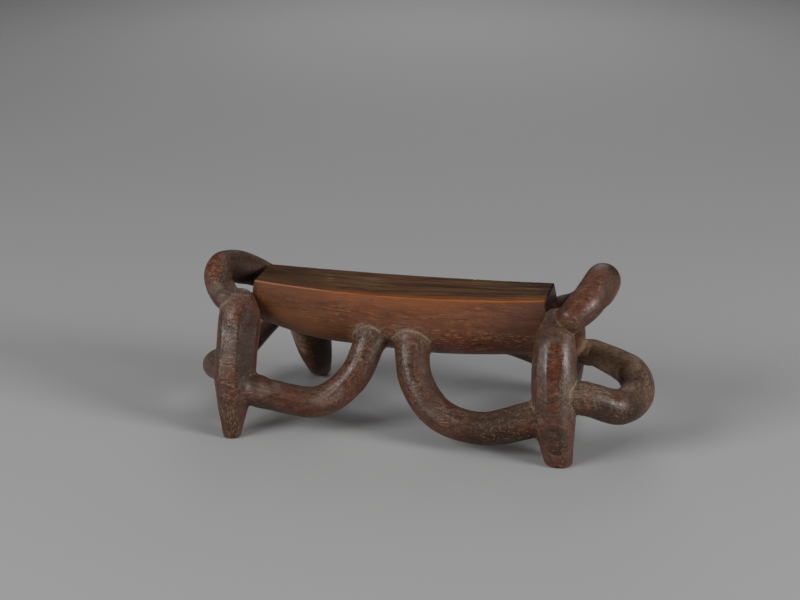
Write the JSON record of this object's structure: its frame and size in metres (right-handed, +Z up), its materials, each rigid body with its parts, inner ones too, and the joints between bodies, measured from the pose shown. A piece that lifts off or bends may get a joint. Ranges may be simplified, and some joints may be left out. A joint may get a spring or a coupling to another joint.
{
  "type": "carved wooden headrest",
  "caption": "Carved one-piece wooden headrest: a long concave beam on splayed spindle legs, with open loops at both ends and curved struts below.",
  "frame": {"origin": "centre of the bounding box in plan, on the floor under the feet", "axes": "+Z up, +X to the right along the beam as seen from the front, front face towards -Y"},
  "size_m": [0.4346, 0.1846, 0.1657],
  "materials": {
    "carved_wood": "dark reddish brown hardwood, hand-carved, satin from handling"
  },
  "bodies": {
    "root": {"headrest": "carved_wood"}
  },
  "joints": []
}
